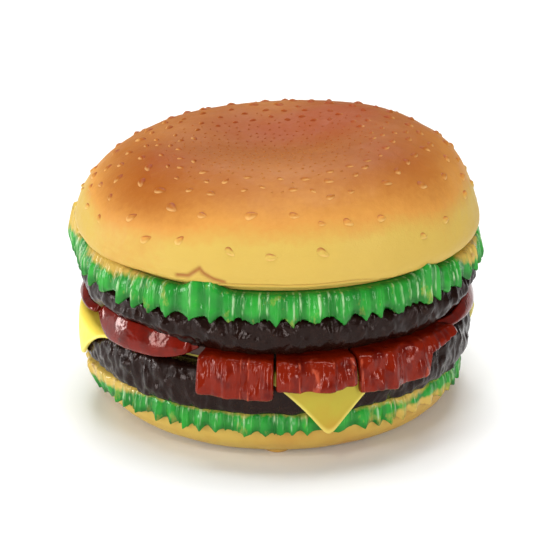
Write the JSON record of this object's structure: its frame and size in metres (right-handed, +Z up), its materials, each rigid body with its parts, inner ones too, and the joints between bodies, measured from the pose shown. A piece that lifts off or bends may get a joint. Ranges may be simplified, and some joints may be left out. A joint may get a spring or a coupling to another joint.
{
  "type": "novelty hamburger telephone",
  "caption": "Corded desk telephone shaped as a filled burger bun that opens like a clam, with a keypad and microphone in the lower half and the earpiece in the upper half.",
  "frame": {"origin": "on the desk, under the middle of the phone", "axes": "+Z up, -Y towards the front where the cheese corner hangs, +Y towards the hinge, +X to the right seen from the front"},
  "size_m": [0.1546, 0.1558, 0.105],
  "materials": {
    "bun": "painted moulded bun, toasted on top, satin with raised seeds",
    "lettuce": "painted leaf green, paler along the ribs, semi-gloss",
    "patty": "dark brown paint over a rough moulded surface, wet gloss in places",
    "cheese": "mustard yellow, satin",
    "tomato": "deep red, wet gloss",
    "bacon": "dark red with pale streaks, wet gloss",
    "tray": "cream moulded plastic, fine texture",
    "key": "ivory moulded key caps, satin",
    "plunger": "ivory moulded plastic",
    "key_rubber": "matt black silicone",
    "foot_rubber": "matt dark rubber",
    "circuit_board": "green solder mask",
    "black_plastic": "black moulded plastic",
    "screw_steel": "zinc plated",
    "pressed_steel": "plated pressed steel",
    "cone_paper": "dark pressed paper"
  },
  "bodies": {
    "base": {"bottom_bun": "bun", "lower_lettuce": "lettuce", "lower_patty": "patty", "cheese_slice": "cheese", "tomato_slice_front_left": "tomato", "tomato_slice_left": "tomato", "tomato_slice_right": "tomato", "bacon_strip_1": "bacon", "bacon_strip_2": "bacon", "bacon_strip_3": "bacon", "key_tray": "tray", "key_mat": "key_rubber", "mic_boot": "key_rubber", "foot_1": "foot_rubber", "foot_2": "foot_rubber", "foot_3": "foot_rubber", "foot_4": "foot_rubber", "main_board": "circuit_board", "dialer_chip": "black_plastic", "line_jack": "black_plastic", "ringer": "black_plastic", "hook_switch": "black_plastic", "ringer_switch": "black_plastic", "tone_switch": "black_plastic", "base_screw_1": "screw_steel", "base_screw_2": "screw_steel", "base_screw_3": "screw_steel", "base_screw_4": "screw_steel", "hinge_pin": "screw_steel", "microphone": "pressed_steel"},
    "lid": {"ear_tray": "tray", "top_bun": "bun", "upper_lettuce": "lettuce", "upper_patty": "patty", "earpiece_speaker": "pressed_steel", "speaker_diaphragm": "cone_paper", "speaker_gasket": "key_rubber", "speaker_clamp": "pressed_steel", "lid_screw_1": "screw_steel", "lid_screw_2": "screw_steel", "lid_screw_3": "screw_steel"},
    "key_1_cap": {"key_1": "key"},
    "key_2_cap": {"key_2": "key"},
    "key_3_cap": {"key_3": "key"},
    "key_4_cap": {"key_4": "key"},
    "key_5_cap": {"key_5": "key"},
    "key_6_cap": {"key_6": "key"},
    "key_7_cap": {"key_7": "key"},
    "key_8_cap": {"key_8": "key"},
    "key_9_cap": {"key_9": "key"},
    "key_star_cap": {"key_star": "key"},
    "key_0_cap": {"key_0": "key"},
    "key_hash_cap": {"key_hash": "key"},
    "key_redial_cap": {"key_redial": "key"},
    "key_mute_cap": {"key_mute": "key"},
    "key_flash_cap": {"key_flash": "key"},
    "plunger": {"hook_plunger": "plunger"},
    "ringer_knob": {"ringer_switch_knob": "plunger"},
    "tone_knob": {"tone_switch_knob": "plunger"}
  },
  "joints": [
    {"name": "lid_hinge", "type": "hinge", "parent": "base", "child": "lid", "pos_m": [0, 0.074, 0.044], "axis": [-1, 0, 0], "range_deg": [0, 115]},
    {"name": "press_1", "type": "slide", "parent": "base", "child": "key_1_cap", "axis": [0, 0, -1], "range_m": [0, 0.0015], "stiffness_N_per_m": 700},
    {"name": "press_2", "type": "slide", "parent": "base", "child": "key_2_cap", "axis": [0, 0, -1], "range_m": [0, 0.0015], "stiffness_N_per_m": 700},
    {"name": "press_3", "type": "slide", "parent": "base", "child": "key_3_cap", "axis": [0, 0, -1], "range_m": [0, 0.0015], "stiffness_N_per_m": 700},
    {"name": "press_4", "type": "slide", "parent": "base", "child": "key_4_cap", "axis": [0, 0, -1], "range_m": [0, 0.0015], "stiffness_N_per_m": 700},
    {"name": "press_5", "type": "slide", "parent": "base", "child": "key_5_cap", "axis": [0, 0, -1], "range_m": [0, 0.0015], "stiffness_N_per_m": 700},
    {"name": "press_6", "type": "slide", "parent": "base", "child": "key_6_cap", "axis": [0, 0, -1], "range_m": [0, 0.0015], "stiffness_N_per_m": 700},
    {"name": "press_7", "type": "slide", "parent": "base", "child": "key_7_cap", "axis": [0, 0, -1], "range_m": [0, 0.0015], "stiffness_N_per_m": 700},
    {"name": "press_8", "type": "slide", "parent": "base", "child": "key_8_cap", "axis": [0, 0, -1], "range_m": [0, 0.0015], "stiffness_N_per_m": 700},
    {"name": "press_9", "type": "slide", "parent": "base", "child": "key_9_cap", "axis": [0, 0, -1], "range_m": [0, 0.0015], "stiffness_N_per_m": 700},
    {"name": "press_star", "type": "slide", "parent": "base", "child": "key_star_cap", "axis": [0, 0, -1], "range_m": [0, 0.0015], "stiffness_N_per_m": 700},
    {"name": "press_0", "type": "slide", "parent": "base", "child": "key_0_cap", "axis": [0, 0, -1], "range_m": [0, 0.0015], "stiffness_N_per_m": 700},
    {"name": "press_hash", "type": "slide", "parent": "base", "child": "key_hash_cap", "axis": [0, 0, -1], "range_m": [0, 0.0015], "stiffness_N_per_m": 700},
    {"name": "press_redial", "type": "slide", "parent": "base", "child": "key_redial_cap", "axis": [0, 0, -1], "range_m": [0, 0.0015], "stiffness_N_per_m": 700},
    {"name": "press_mute", "type": "slide", "parent": "base", "child": "key_mute_cap", "axis": [0, 0, -1], "range_m": [0, 0.0015], "stiffness_N_per_m": 700},
    {"name": "press_flash", "type": "slide", "parent": "base", "child": "key_flash_cap", "axis": [0, 0, -1], "range_m": [0, 0.0015], "stiffness_N_per_m": 700},
    {"name": "hook_rise", "type": "slide", "parent": "base", "child": "plunger", "axis": [0, 0, 1], "range_m": [0, 0.003]},
    {"name": "ringer_slide", "type": "slide", "parent": "base", "child": "ringer_knob", "axis": [-0.866, 0.5, 0], "range_m": [0, 0.004]},
    {"name": "tone_slide", "type": "slide", "parent": "base", "child": "tone_knob", "axis": [-0.7193, 0.6947, 0], "range_m": [0, 0.004]}
  ],
  "couplings": [
    {"joint": "hook_rise", "follows": "lid_hinge", "m_per_rad": 0.00149}
  ]
}
